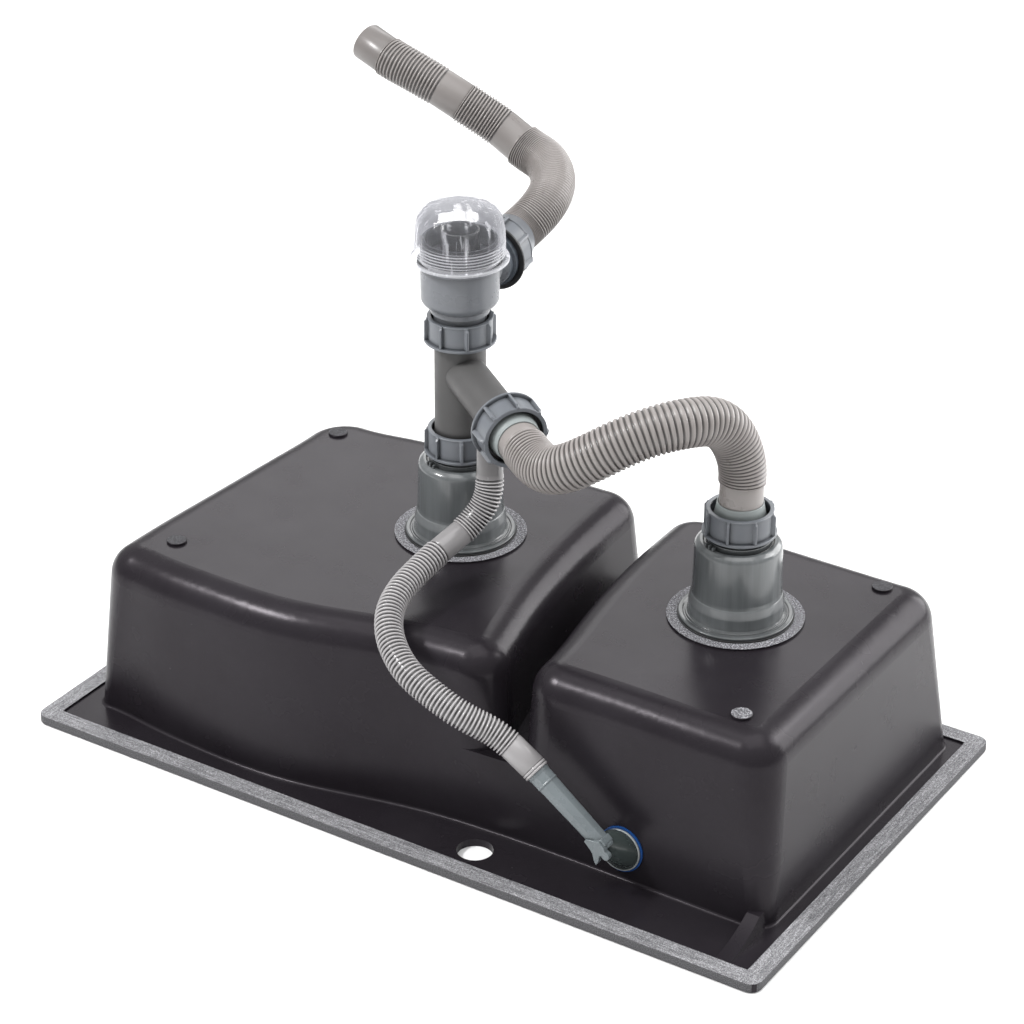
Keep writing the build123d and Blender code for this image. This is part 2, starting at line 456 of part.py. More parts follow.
# ---------------------------------------------------------------------------
# overflow elbow on the small bowl's near wall
# ---------------------------------------------------------------------------
wall_at = along(OVER, WALL_N)
pipe_o = Vector(147.9, -186.0, 112.0)        # where the hose ends on the elbow
pipe_dir = Vector(-33.8, 0, 24.9).normalized()
PIPE_L = 84.0
start = pipe_o - pipe_dir * PIPE_L           # closed end of the elbow
save(wall_at * ring(22.8, 12.2, 0.3, 2.0), "overflow_gasket")
flange = wall_at * turned([(0, 2.1), (22.2, 2.1, 0.4), (22.2, 4.6, 0.8), (0, 4.6)])
foot = OVER + WALL_N * 3.0
lean = start + pipe_dir * 4.0 - foot
neck = along(foot, lean) * turned([(0, 0), (16.0, 0), (14.8, 3.0), (11.4, lean.length - 2.0), (0, lean.length - 2.0)])
neck = neck & (wall_at * rod(40.0, 2.1, 60.0))
arm = along(start, pipe_dir) * turned([(0, 0), (11.8, 0, 2.5), (11.6, 40.0), (10.9, PIPE_L - 3.0), (11.2, PIPE_L - 2.6, 0.3),
                                       (11.2, PIPE_L - 0.3, 0.3), (9.9, PIPE_L - 0.2), (9.9, PIPE_L + 26.0, 0.5),
                                       (0, PIPE_L + 26.0)])
# two-lobed grip rib on the closed end
rib = Pos(0, 0, 3.0) * Box(9.0, 14.0, 6.0) + Pos(-4.6, -7.0, 3.0) * Cylinder(3.6, 6.0) + Pos(4.6, -7.0, 3.0) * Cylinder(3.6, 6.0)
ribs = Plane(origin=start - pipe_dir * 3.0, x_dir=Vector(0.593, 0, 0.805), z_dir=(0, -1, 0)).location * Pos(0, 0, -3.0) * rib
elbow = flange + neck + arm + ribs
bore = along(foot - lean.normalized() * 12.0, lean) * rod(8.2, 0, lean.length + 14.0)
arm_in = along(start, pipe_dir) * rod(8.2, 3.0, PIPE_L + 40.0)
elbow = elbow - bore - arm_in
save(elbow, "overflow_elbow")
# in-bowl cover and its screw
inner_face = -8.3
save(wall_at * turned([(3.0, inner_face - 0.1), (19.0, inner_face - 0.1, 0.4), (19.0, inner_face - 1.6, 0.6), (10.0, inner_face - 3.4, 2.0),
                       (3.0, inner_face - 3.4)]), "overflow_rosette")

# ---------------------------------------------------------------------------
# hoses: plain tubes along straight runs joined by tangent arcs
# ---------------------------------------------------------------------------
def hose(route, r_out, r_bore, name, tip=None):
    pts = [Vector(*p) for p in route]
    radii = []
    for a, b, c in zip(pts, pts[1:], pts[2:]):
        turn = math.radians((b - a).get_angle(c - b))
        radii.append(0.45 * min((b - a).length, (c - b).length) / math.tan(turn / 2))
    path = FilletPolyline(*pts, radius=radii)
    d0 = (pts[1] - pts[0]).normalized()
    face = Plane(origin=pts[0], z_dir=d0) * (Circle(r_out) - Circle(r_bore))
    tube = sweep(face, path=path)
    length = path.length
    ideal = math.pi * (r_out ** 2 - r_bore ** 2) * length
    print("%s length %.1f radii %s volume %.0f section x length %.0f" % (
        name, length, [round(r) for r in radii], tube.volume, ideal))
    if tip:
        d1 = (pts[-1] - pts[-2]).normalized()
        tube = tube - along(pts[-1] - d1 * 16.0, d1) * ring(r_out + 6.0, tip, 0.0, 20.0)
    save(tube, name)
    return tube


hose(CONNECTING_ROUTE, HOSE_R, HOSE_BORE, "connecting_hose")
hose(OUTLET_ROUTE, HOSE_R, 17.0, "outlet_hose", tip=19.15)
hose(OVERFLOW_ROUTE, OVER_R, OVER_BORE, "overflow_hose")
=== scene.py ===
import bpy
import bmesh
import math
import random
from mathutils import Vector, Matrix


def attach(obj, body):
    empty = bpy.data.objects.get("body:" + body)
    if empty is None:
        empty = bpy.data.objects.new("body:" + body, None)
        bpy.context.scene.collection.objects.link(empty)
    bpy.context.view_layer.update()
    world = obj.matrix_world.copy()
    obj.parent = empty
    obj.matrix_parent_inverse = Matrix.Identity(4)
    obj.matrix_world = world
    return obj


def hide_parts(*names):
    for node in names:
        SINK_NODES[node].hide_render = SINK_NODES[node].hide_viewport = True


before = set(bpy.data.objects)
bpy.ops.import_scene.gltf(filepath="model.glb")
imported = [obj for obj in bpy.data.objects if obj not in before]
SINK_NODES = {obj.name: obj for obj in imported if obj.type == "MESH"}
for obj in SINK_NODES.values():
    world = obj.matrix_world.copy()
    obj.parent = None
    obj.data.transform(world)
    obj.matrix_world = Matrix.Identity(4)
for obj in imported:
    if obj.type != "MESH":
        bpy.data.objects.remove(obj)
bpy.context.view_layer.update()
random.seed(7)
scene = bpy.context.scene
MM = 0.001

# ---------------------------------------------------------------------------
# positions shared with the CAD model, in millimetres
# ---------------------------------------------------------------------------
D1 = (-83.0, 36.3)
D2 = (224.0, 42.0)


def direction(az, rise):
    a, t = math.radians(az), math.radians(rise)
    return Vector((math.sin(a) * math.cos(t), math.cos(a) * math.cos(t), math.sin(t)))


BRANCH_D = direction(124.5, -4.4)
BRANCH_O = Vector((D1[0], D1[1], 369.9))
OUTLET_D = direction(-6.0, 3.7)
OUTLET_O = Vector((D1[0], D1[1], 456.0))

CONNECTING_ROUTE = [
    (20.5, -34.9, 360.3), (49.0, -54.4, 357.6), (77.1, -70.7, 353.3),
    (102.2, -76.1, 361.4), (127.5, -67.8, 377.5), (151.6, -52.4, 393.9),
    (174.6, -33.6, 404.9), (195.3, -11.0, 408.5), (208.4, 16.5, 402.7),
    (216.2, 36.3, 381.3), (224.5, 43.7, 350.5), (224.0, 42.0, 318.1),
    (224.0, 42.0, 288.0)]
OVERFLOW_ROUTE = [
    (-21.4, -6.1, 322.0), (-21.4, -6.1, 300.3), (-16.6, -13.7, 269.5),
    (-26.4, -32.2, 245.2), (-38.0, -63.5, 231.4), (-41.9, -95.4, 222.6),
    (-42.4, -125.1, 216.6), (-36.8, -154.0, 208.8), (-21.8, -177.7, 199.8),
    (-0.4, -195.1, 190.2), (22.0, -205.3, 181.6), (49.6, -207.4, 170.6),
    (77.7, -204.3, 157.3), (114.1, -186.0, 136.9), (147.9, -186.0, 112.0)]
OUTLET_ROUTE = [
    (-91.8, 119.7, 461.4), (-95.1, 151.0, 463.5), (-83.5, 181.0, 481.0),
    (-86.2, 210.2, 496.4), (-107.8, 233.2, 508.2), (-139.6, 239.1, 514.3),
    (-163.9, 237.2, 530.3), (-191.1, 227.5, 547.1), (-220.0, 218.8, 564.4),
    (-251.2, 212.2, 578.7), (-282.8, 209.1, 589.3), (-312.0, 213.1, 599.3)]


# ---------------------------------------------------------------------------
# materials
# ---------------------------------------------------------------------------
class Mat:
    def __init__(self, name, color, rough, spec=0.5, coat=0.0, metallic=0.0):
        self.m = bpy.data.materials.new(name)
        self.m.use_nodes = True
        self.t = self.m.node_tree
        self.b = self.t.nodes["Principled BSDF"]
        self.b.inputs["Base Color"].default_value = (*color, 1)
        self.b.inputs["Roughness"].default_value = rough
        self.b.inputs["Specular IOR Level"].default_value = spec
        self.b.inputs["Metallic"].default_value = metallic
        if coat:
            self.b.inputs["Coat Weight"].default_value = coat
            self.b.inputs["Coat Roughness"].default_value = 0.15

    def node(self, kind, **inputs):
        n = self.t.nodes.new(kind)
        for k, v in inputs.items():
            if k in n.inputs:
                n.inputs[k].default_value = v
            else:
                setattr(n, k, v)
        return n

    def link(self, a, b):
        self.t.links.new(a, b)

    def coord(self, kind="Object"):
        return self.node("ShaderNodeTexCoord").outputs[kind]

    def noise(self, scale, detail=3.0, rough=0.5, vec=None, stretch=None):
        n = self.node("ShaderNodeTexNoise", Scale=scale, Detail=detail, Roughness=rough)
        src = vec or self.coord()
        if stretch:
            mp = self.node("ShaderNodeMapping")
            mp.inputs["Scale"].default_value = stretch
            self.link(src, mp.inputs["Vector"])
            src = mp.outputs["Vector"]
        self.link(src, n.inputs["Vector"])
        return n.outputs["Fac"]

    def ramp(self, fac, stops):
        r = self.node("ShaderNodeValToRGB")
        e = r.color_ramp.elements
        while len(e) < len(stops):
            e.new(0.5)
        for i, (p, c) in enumerate(stops):
            e[i].position = p
            e[i].color = c if len(c) == 4 else (*c, 1)
        self.link(fac, r.inputs["Fac"])
        return r.outputs["Color"]

    def math(self, op, a, b=None, clamp=False):
        n = self.node("ShaderNodeMath", operation=op, use_clamp=clamp)
        for i, v in enumerate((a, b)):
            if v is None:
                continue
            if isinstance(v, (int, float)):
                n.inputs[i].default_value = v
            else:
                self.link(v, n.inputs[i])
        return n.outputs[0]

    def span(self, fac, a, b, c=0.0, d=1.0, smooth=False):
        n = self.node("ShaderNodeMapRange")
        n.interpolation_type = "SMOOTHSTEP" if smooth else "LINEAR"
        for i, v in zip(("From Min", "From Max", "To Min", "To Max"), (a, b, c, d)):
            n.inputs[i].default_value = v
        self.link(fac, n.inputs["Value"])
        return n.outputs["Result"]

    def mix(self, fac, a, b):
        n = self.node("ShaderNodeMix", data_type="RGBA")
        for sock, v in (("Factor", fac), ("A", a), ("B", b)):
            i = [s for s in n.inputs if s.name == sock and s.enabled][0]
            if isinstance(v, (int, float)):
                i.default_value = v
            elif isinstance(v, tuple):
                i.default_value = (*v, 1) if len(v) == 3 else v
            else:
                self.link(v, i)
        return [o for o in n.outputs if o.enabled][0]

    def bump(self, height, strength, distance=0.001, normal=None):
        n = self.node("ShaderNodeBump", Strength=strength, Distance=distance)
        self.link(height, n.inputs["Height"])
        if normal is not None:
            self.link(normal, n.inputs["Normal"])
        self.link(n.outputs["Normal"], self.b.inputs["Normal"])
        return n.outputs["Normal"]

    def color(self, out):
        self.link(out, self.b.inputs["Base Color"])

    def rough(self, out):
        self.link(out, self.b.inputs["Roughness"])


def plastic(name, color, rough, spec=0.5, vary=0.10, streak=None, grain=0.02, grain_scale=900, coat=0.0, crevice_shade=0.006, shade_depth=0.45,
            groove_shade=0.0):
    """moulded plastic: slight flow colour, uneven gloss, fine surface grain, painted shade in the crevices and in the
    hose grooves
    """
    m = Mat(name, color, rough, spec, coat)
    flow = m.noise(14.0, 4.0, 0.55, stretch=streak or (1, 1, 1))
    dark = tuple(c * (1 - vary) for c in color)
    light = tuple(min(1, c * (1 + vary)) for c in color)
    col = m.ramp(flow, [(0.3, dark), (0.7, light)])
    shaded = tuple(c * shade_depth for c in color)
    # painted shade: ambient occlusion pulls the colour towards a darker copy in crevices and recesses
    if crevice_shade:
        ao = m.node("ShaderNodeAmbientOcclusion", samples=6)
        ao.inputs["Distance"].default_value = crevice_shade
        col = m.mix(m.span(ao.outputs["AO"], 0.45, 0.95), shaded, col)
    # painted shade in the hose grooves, read from the per-vertex attribute
    if groove_shade:
        at = m.node("ShaderNodeAttribute", attribute_name="groove_shade")
        col = m.mix(m.math("MULTIPLY", at.outputs["Fac"], groove_shade), col, tuple(c * 0.10 for c in color))
    m.color(col)
    m.rough(m.span(m.noise(60.0, 3.0), 0.3, 0.7, rough - 0.05, rough + 0.06))
    m.bump(m.noise(grain_scale, 2.0), grain, 0.0004)
    return m


def sink_material():
    m = Mat("sink_composite", (0.022, 0.019, 0.023), 0.3, 0.19)
    m.b.inputs["Specular Tint"].default_value = (1.0, 0.93, 1.0, 1)
    pos = m.node("ShaderNodeSeparateXYZ")
    m.link(m.coord(), pos.inputs["Vector"])
    x, y, z = pos.outputs
    geo = m.node("ShaderNodeNewGeometry")
    nrm = m.node("ShaderNodeSeparateXYZ")
    m.link(geo.outputs["Normal"], nrm.inputs["Vector"])
    # moulded skin: blotchy charcoal with very fine mineral flecks
    blotch = m.ramp(m.noise(9.0, 4.0, 0.6), [(0.3, (0.0115, 0.0095, 0.012)), (0.7, (0.0165, 0.0145, 0.0175))])
    fleck = m.ramp(m.noise(1500.0, 2.0, 0.6), [(0.66, (0, 0, 0)), (0.78, (0.03, 0.03, 0.033))])
    add = m.node("ShaderNodeMix", data_type="RGBA", blend_type="ADD")
    add.inputs["Factor"].default_value = 1.0
    a_in = [s for s in add.inputs if s.name == "A" and s.enabled][0]
    b_in = [s for s in add.inputs if s.name == "B" and s.enabled][0]
    m.link(blotch, a_in)
    m.link(fleck, b_in)
    skin = [o for o in add.outputs if o.enabled][0]
    # ground faces: the band under the rim, the stud tops and the waste pads
    up = m.math("GREATER_THAN", nrm.outputs["Z"], 0.9)
    band = m.math("MULTIPLY", m.math("LESS_THAN", m.math("ABSOLUTE", m.math("SUBTRACT", z, 0.010)), 0.0004), up)
    outside = m.math("MAXIMUM", m.math("GREATER_THAN", m.math("ABSOLUTE", x), 0.3908), m.math("GREATER_THAN", m.math("ABSOLUTE", y), 0.2208))
    band = m.math("MULTIPLY", band, outside)
    pads = m.math("GREATER_THAN", z, 0.1917)
    ground = m.math("MULTIPLY", m.math("MAXIMUM", band, pads), up, clamp=True)
    speck = m.ramp(m.noise(1050.0, 3.0, 0.7), [(0.30, (0.05, 0.05, 0.055)), (0.5, (0.24, 0.24, 0.25)), (0.70, (0.60, 0.60, 0.62))])
    along_x = m.noise(45.0, 4.0, 0.65, stretch=(1.0, 16.0, 1.0))
    along_y = m.noise(45.0, 4.0, 0.65, stretch=(16.0, 1.0, 1.0))
    on_side = m.math("GREATER_THAN", m.math("ABSOLUTE", x), 0.3905)
    scratch = m.ramp(m.math("ADD", m.math("MULTIPLY", along_y, on_side), m.math("MULTIPLY", along_x, m.math("SUBTRACT", 1.0, on_side))),
                     [(0.36, (0.35, 0.35, 0.36)), (0.62, (1, 1, 1))])
    mul = m.node("ShaderNodeMix", data_type="RGBA", blend_type="MULTIPLY")
    mul.inputs["Factor"].default_value = 0.8
    m.link(speck, [s for s in mul.inputs if s.name == "A" and s.enabled][0])
    m.link(scratch, [s for s in mul.inputs if s.name == "B" and s.enabled][0])
    specked = [o for o in mul.outputs if o.enabled][0]
    pad_speck = m.ramp(m.noise(620.0, 3.0, 0.8), [(0.42, (0.05, 0.05, 0.055)), (0.52, (0.14, 0.14, 0.15)), (0.63, (0.50, 0.50, 0.53))])
    stud = m.math("GREATER_THAN", m.math("ABSOLUTE", x), 0.2925)
    front = m.math("MULTIPLY", m.math("GREATER_THAN", x, 0.3), m.math("LESS_THAN", y, -0.09))
    dull = m.math("MULTIPLY", stud, m.span(front, 0.0, 1.0, 0.85, 0.2))
    pad_speck = m.mix(dull, pad_speck, (0.028, 0.028, 0.03))
    specked = m.mix(pads, specked, pad_speck)
    # rim edge: granular
    low = m.math("LESS_THAN", z, 0.0098)
    side_x = m.math("GREATER_THAN", m.math("ABSOLUTE", x), 0.4080)
    side_y = m.math("GREATER_THAN", m.math("ABSOLUTE", y), 0.2380)
    edge = m.math("MULTIPLY", m.math("MAXIMUM", side_x, side_y), low)
    grit = m.ramp(m.noise(900.0, 2.0, 0.7), [(0.35, (0.035, 0.035, 0.038)), (0.7, (0.15, 0.15, 0.155))])
    col = m.mix(edge, skin, grit)
    col = m.mix(ground, col, specked)
    m.color(col)
    base_r = m.span(m.noise(26.0, 3.0), 0.3, 0.7, 0.25, 0.28)
    r1 = m.math("MAXIMUM", base_r, m.math("MULTIPLY", m.math("MAXIMUM", ground, edge), 0.62))
    m.rough(r1)
    # orange peel of the moulding plus grit on ground faces
    peel = m.math("MULTIPLY", m.noise(90.0, 2.0), 0.22)
    grain = m.math("MULTIPLY", m.noise(1300.0, 2.0), 0.14)
    rough_g = m.math("MULTIPLY", m.noise(800.0, 2.0), m.math("MULTIPLY", m.math("MAXIMUM", ground, edge), 0.8))
    m.bump(m.math("ADD", m.math("ADD", peel, grain), rough_g), 0.13, 0.0006)
    return m


MATS = {}
MATS["sink"] = sink_material()
def cup_material():
    """strainer cup: faint draw lines, a painted highlight band where the body meets the skirt, a darker flange"""
    m = plastic("cup_grey", (0.108, 0.116, 0.12), 0.2, 0.5, 0.16, streak=(9, 9, 0.4), grain=0.008, coat=0.35)
    pos = m.node("ShaderNodeSeparateXYZ")
    m.link(m.coord(), pos.inputs["Vector"])
    z = pos.outputs["Z"]
    # painted highlight: a lighter band where the body meets the skirt
    band = m.math("MULTIPLY", m.span(z, 0.2075, 0.2125, smooth=True), m.span(z, 0.2160, 0.2215, 1.0, 0.0, smooth=True))
    low = m.span(z, 0.1965, 0.1985, 1.0, 0.0)
    old = m.b.inputs["Base Color"].links[0].from_socket
    col = m.mix(m.math("MULTIPLY", band, 0.32), old, (0.24, 0.25, 0.255))
    m.color(m.mix(m.math("MULTIPLY", low, 0.45), col, (0.03, 0.033, 0.035)))
    return m


MATS["cup"] = cup_material()
# nuts: deeper painted shade between the ribs
MATS["nut"] = plastic("nut_grey", (0.130, 0.140, 0.156), 0.34, 0.5, 0.08, shade_depth=0.3)
MATS["pipe"] = plastic("pipe_grey", (0.072, 0.0705, 0.0705), 0.5, 0.4, 0.08)
MATS["trap"] = plastic("trap_grey", (0.138, 0.146, 0.160), 0.3, 0.5, 0.1, streak=(8, 8, 0.5))
MATS["sleeve"] = plastic("sleeve_grey", (0.255, 0.28, 0.28), 0.34, 0.45, 0.1)
MATS["hose_beige"] = plastic("hose_beige", (0.255, 0.235, 0.226), 0.31, 0.5, 0.06, crevice_shade=0, groove_shade=0.86)
MATS["hose_grey"] = plastic("hose_grey", (0.38, 0.367, 0.372), 0.22, 0.6, 0.05, crevice_shade=0, groove_shade=0.97)
MATS["elbow"] = plastic("elbow_grey", (0.150, 0.172, 0.182), 0.28, 0.5, 0.12)
MATS["elbow_light"] = plastic("elbow_light", (0.30, 0.32, 0.32), 0.35, 0.5, 0.08)
MATS["elbow_dark"] = plastic("elbow_dark", (0.045, 0.056, 0.055), 0.25, 0.5, 0.15)
MATS["port_blue"] = plastic("port_blue", (0.075, 0.088, 0.105), 0.4, 0.5, 0.15)
MATS["black"] = plastic("rubber_black", (0.022, 0.022, 0.023), 0.5, 0.4, 0.15)
MATS["blue"] = plastic("rubber_blue", (0.006, 0.075, 0.30), 0.42, 0.4, 0.1)
MATS["steel"] = Mat("steel", (0.62, 0.63, 0.64), 0.28, 0.5, metallic=1.0)
MATS["steel"].bump(MATS["steel"].noise(300.0, 3.0, stretch=(1, 1, 12)), 0.06, 0.0003)
# standpipe: strong, far-reaching painted shade inside the bore
MATS["standpipe"] = plastic("standpipe_grey", (0.15, 0.158, 0.172), 0.35, 0.5, 0.1, crevice_shade=0.03, shade_depth=0.2)


def clear_material():
    """clear moulding: white edges where the wall is seen side on as a painted reflection, light thread lines and
    flange, painted highlight streaks along the flutes, a faint painted glow
    """
    m = Mat("clear_plastic", (0.47, 0.475, 0.50), 0.09, 0.5)
    # painted glow: the clear plastic emits a faint white light of its own
    m.b.inputs["Emission Color"].default_value = (0.93, 0.93, 1.0, 1)
    m.b.inputs["Emission Strength"].default_value = 0.19
    m.bump(m.noise(70.0, 2.0, stretch=(1, 1, 0.2)), 0.08, 0.0008)
    fr = m.node("ShaderNodeFresnel", IOR=1.65)
    pos = m.node("ShaderNodeSeparateXYZ")
    m.link(m.coord(), pos.inputs["Vector"])
    z = pos.outputs["Z"]
    # painted highlights: light streaks along the flutes
    streak = m.span(m.noise(95.0, 2.0, 0.5, stretch=(1, 1, 0.10)), 0.60, 0.70, 0.0, 0.42, smooth=True)
    thin_highlight = m.span(m.noise(210.0, 2.0, 0.5, stretch=(1, 1, 0.06)), 0.64, 0.70, 0.0, 0.30, smooth=True)
    turn = m.math("FRACT", m.math("MULTIPLY", m.math("SUBTRACT", z, 0.4896), 1 / 0.003))
    line = m.math("MULTIPLY", m.span(m.math("ABSOLUTE", m.math("SUBTRACT", turn, 0.5)), 0.10, 0.22, 1.0, 0.0),
                  m.math("MULTIPLY", m.math("GREATER_THAN", z, 0.4896), m.math("LESS_THAN", z, 0.5050)))
    foot = m.span(z, 0.4868, 0.4878, 0.55, 0.0)
    # painted reflection: the white surface grows opaque where the wall is seen side on, giving white edges
    body = m.math("ADD", m.math("MULTIPLY", fr.outputs["Fac"], 1.3), -0.015)
    extra = m.math("ADD", m.math("MULTIPLY", line, 0.42), foot)
    m.link(m.math("ADD", m.math("ADD", body, extra), m.math("ADD", streak, thin_highlight), clamp=True), m.b.inputs["Alpha"])
    return m


MATS["clear"] = clear_material()


# ---------------------------------------------------------------------------
# mesh helpers (all input in millimetres)
# ---------------------------------------------------------------------------
def finish_mesh(name, verts, faces, mats, body, angle=32, poly_mat=None, bevel=None):
    me = bpy.data.meshes.new(name)
    me.from_pydata([tuple(c * MM for c in v) for v in verts], [], faces)
    me.update()
    bm = bmesh.new()
    bm.from_mesh(me)
    bmesh.ops.remove_doubles(bm, verts=bm.verts, dist=1e-7)
    bmesh.ops.recalc_face_normals(bm, faces=bm.faces)
    bm.to_mesh(me)
    bm.free()
    me.shade_smooth()
    me.set_sharp_from_angle(angle=math.radians(angle))
    for k in ([mats] if isinstance(mats, str) else mats):
        me.materials.append(MATS[k].m)
    if poly_mat is not None:
        for p in me.polygons:
            p.material_index = poly_mat(p.center / MM)
    o = bpy.data.objects.new(name, me)
    scene.collection.objects.link(o)
    if bevel:
        b = o.modifiers.new("edge", "BEVEL")
        b.width = bevel * MM
        b.segments = 2
        b.limit_method = "ANGLE"
        b.angle_limit = math.radians(40)
        b.harden_normals = True
    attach(o, body)
    return o


def frame_at(origin, axis):
    """matrix whose Z is the axis (millimetres)"""
    z = Vector(axis).normalized()
    q = Vector((0, 0, 1)).rotation_difference(z) if z.z > -0.999 else Matrix.Rotation(math.pi, 3, "X").to_quaternion()
    return Matrix.Translation(Vector(origin)) @ q.to_matrix().to_4x4()


def round_profile(pts, n=5):
    """(r, z, radius) corners to a smooth list of (r, z)"""
    out = []
    cnt = len(pts)
    for i in range(cnt):
        p = Vector(pts[i][:2])
        rad = pts[i][2] if len(pts[i]) > 2 else 0
        if not rad:
            out.append(tuple(p))
            continue
        a, b = Vector(pts[i - 1][:2]), Vector(pts[(i + 1) % cnt][:2])
        ua, ub = (a - p).normalized(), (b - p).normalized()
        half = ua.angle(ub) / 2
        t = min(rad / math.tan(half), (a - p).length * 0.49, (b - p).length * 0.49)
        r = t * math.tan(half)
        c = p + (ua + ub).normalized() * (r / math.sin(half))
        s, e = p + ua * t - c, p + ub * t - c
        a0, a1 = math.atan2(s.y, s.x), math.atan2(e.y, e.x)
        d = (a1 - a0 + math.pi) % (2 * math.pi) - math.pi
        for k in range(n + 1):
            w = a0 + d * k / n
            out.append((c.x + r * math.cos(w), c.y + r * math.sin(w)))
    return out


def lathe(name, profile, mat, body, place=None, seg=96, closed=True, angle=32, n=5, wobble=None, replaces=(), poly_mat=None,
          bevel=None):
    """turned piece from a closed profile of (r, z, radius)"""
    prof = round_profile(profile, n)
    place = place or Matrix.Identity(4)
    verts, faces = [], []
    m = len(prof)
    for i in range(seg):
        a = 2 * math.pi * i / seg
        for r, z in prof:
            if wobble:
                r, z = wobble(a, r, z)
            verts.append(place @ Vector((r * math.cos(a), r * math.sin(a), z)))
    for i in range(seg):
        j = (i + 1) % seg
        for k in range(m if closed else m - 1):
            l = (k + 1) % m
            faces.append((i * m + k, i * m + l, j * m + l, j * m + k))
    o = finish_mesh(name, verts, faces, mat, body, angle, poly_mat, bevel)
    if replaces:
        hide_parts(*replaces)
    return o


def route_line(name, route):
    """centreline read from the smooth curve through a hose's control points, in millimetres"""
    cu = bpy.data.curves.new(name, "CURVE")
    cu.dimensions = "3D"
    sp = cu.splines.new("NURBS")
    sp.points.add(len(route) - 1)
    for p, q in zip(sp.points, route):
        p.co = (q[0] * MM, q[1] * MM, q[2] * MM, 1)
    sp.order_u = 3
    sp.use_endpoint_u = True
    sp.resolution_u = 24
    cu.resolution_u = 24
    ob = bpy.data.objects.new(name, cu)
    scene.collection.objects.link(ob)
    bpy.context.view_layer.update()
    me = bpy.data.meshes.new_from_object(ob.evaluated_get(bpy.context.evaluated_depsgraph_get()))
    pts = [v.co / MM for v in me.vertices]
    bpy.data.objects.remove(ob)
    bpy.data.curves.remove(cu)
    bpy.data.meshes.remove(me)
    return pts


class Line3:
    """arc-length access to a polyline with parallel-transport frames"""
    def __init__(self, pts, up=(0, 0, 1)):
        self.p = [p.copy() for p in pts]
        self.s = [0.0]
        for a, b in zip(self.p, self.p[1:]):
            self.s.append(self.s[-1] + (b - a).length)
        self.length = self.s[-1]
        tang = []
        for i in range(len(self.p)):
            a = self.p[max(0, i - 1)]
            b = self.p[min(len(self.p) - 1, i + 1)]
            tang.append((b - a).normalized())
        self.t = tang
        n = Vector(up) - tang[0] * tang[0].dot(Vector(up))
        if n.length < 0.1:
            n = Vector((1, 0, 0)) - tang[0] * tang[0].x
        n.normalize()
        self.n = [n]
        for a, b in zip(tang, tang[1:]):
            q = a.rotation_difference(b)
            n = (q @ self.n[-1])
            n = (n - b * b.dot(n)).normalized()
            self.n.append(n)

    def at(self, s):
        s = min(max(s, 0.0), self.length)
        lo, hi = 0, len(self.s) - 1
        while hi - lo > 1:
            mid = (lo + hi) // 2
            if self.s[mid] <= s:
                lo = mid
            else:
                hi = mid
        w = (s - self.s[lo]) / max(1e-9, self.s[hi] - self.s[lo])
        p = self.p[lo].lerp(self.p[hi], w)
        t = self.t[lo].lerp(self.t[hi], w).normalized()
        n = self.n[lo].lerp(self.n[hi], w)
        n = (n - t * t.dot(n)).normalized()
        return p, t, n


def hose_mesh(name, line, stations, mat, body, seg=56, bore=None, poly_mat=None):
    """tube along a line; stations are (arc length, radius, painted shade in the grooves); open ends are turned in to a
    bore
    """
    shade_depth = {round(q[0], 3): q[2] for q in stations if len(q) > 2}
    stations = [(q[0], q[1]) for q in stations]
    rows = []
    if bore:
        rows.append((stations[0][0] + 14.0, bore))
        rows.append((stations[0][0], bore))
    rows += stations
    if bore:
        rows.append((stations[-1][0], bore))
        rows.append((stations[-1][0] - 26.0, bore))
    verts, faces = [], []
    for s, r in rows:
        p, t, n = line.at(s)
        b = t.cross(n)
        for i in range(seg):
            a = 2 * math.pi * i / seg
            verts.append(p + n * (r * math.cos(a)) + b * (r * math.sin(a)))
    for k in range(len(rows) - 1):
        for i in range(seg):
            j = (i + 1) % seg
            faces.append((k * seg + i, k * seg + j, (k + 1) * seg + j, (k + 1) * seg + i))
    o = finish_mesh(name, verts, faces, mat, body, 60, poly_mat)
    me = o.data
    att = me.attributes.new("groove_shade", "FLOAT", "POINT")
    if len(me.vertices) == len(verts):
        for k, (s, r) in enumerate(rows):
            g = shade_depth.get(round(s, 3), 0.0)
            for i in range(seg):
                att.data[k * seg + i].value = g
    return o


def table(points):
    """value read off a list of (position, value) pairs"""
    def f(s):
        if s <= points[0][0]:
            return points[0][1]
        for (a, va), (b, vb) in zip(points, points[1:]):
            if s <= b:
                return va + (vb - va) * (s - a) / (b - a)
        return points[-1][1]
    return f


def rings(s0, s1, pitch, root, crest, duty=0.66, per=11, dark=None):
    """corrugation from s0 to s1: round ridges with narrow grooves, each row carrying a painted shade value that darkens
    the grooves.
    pitch may be a function of position"""
    out = []
    s = s0
    while s < s1 - 0.3:
        p = pitch(s) if callable(pitch) else pitch
        p = min(p, s1 - s) if s1 - s < 1.5 * p else p
        c = crest(s) if callable(crest) else crest
        r0 = root(s) if callable(root) else root
        for k in range(per):
            u = k / per
            gap = 1 - duty
            if u < gap:
                h = 0.0
            else:
                w = (u - gap) / duty
                h = math.sin(math.pi * w) ** 0.5 if 0 < w < 1 else 0.0
            # third value: painted shade, strongest where the ridges dip to the root
            out.append((s + p * u, r0 + (c - r0) * h, max(0.0, 1 - 1.7 * h) * (dark(s) if dark else 1.0)))
        s += p
    out.append((s1, root(s1) if callable(root) else root, 0.6))
    return out


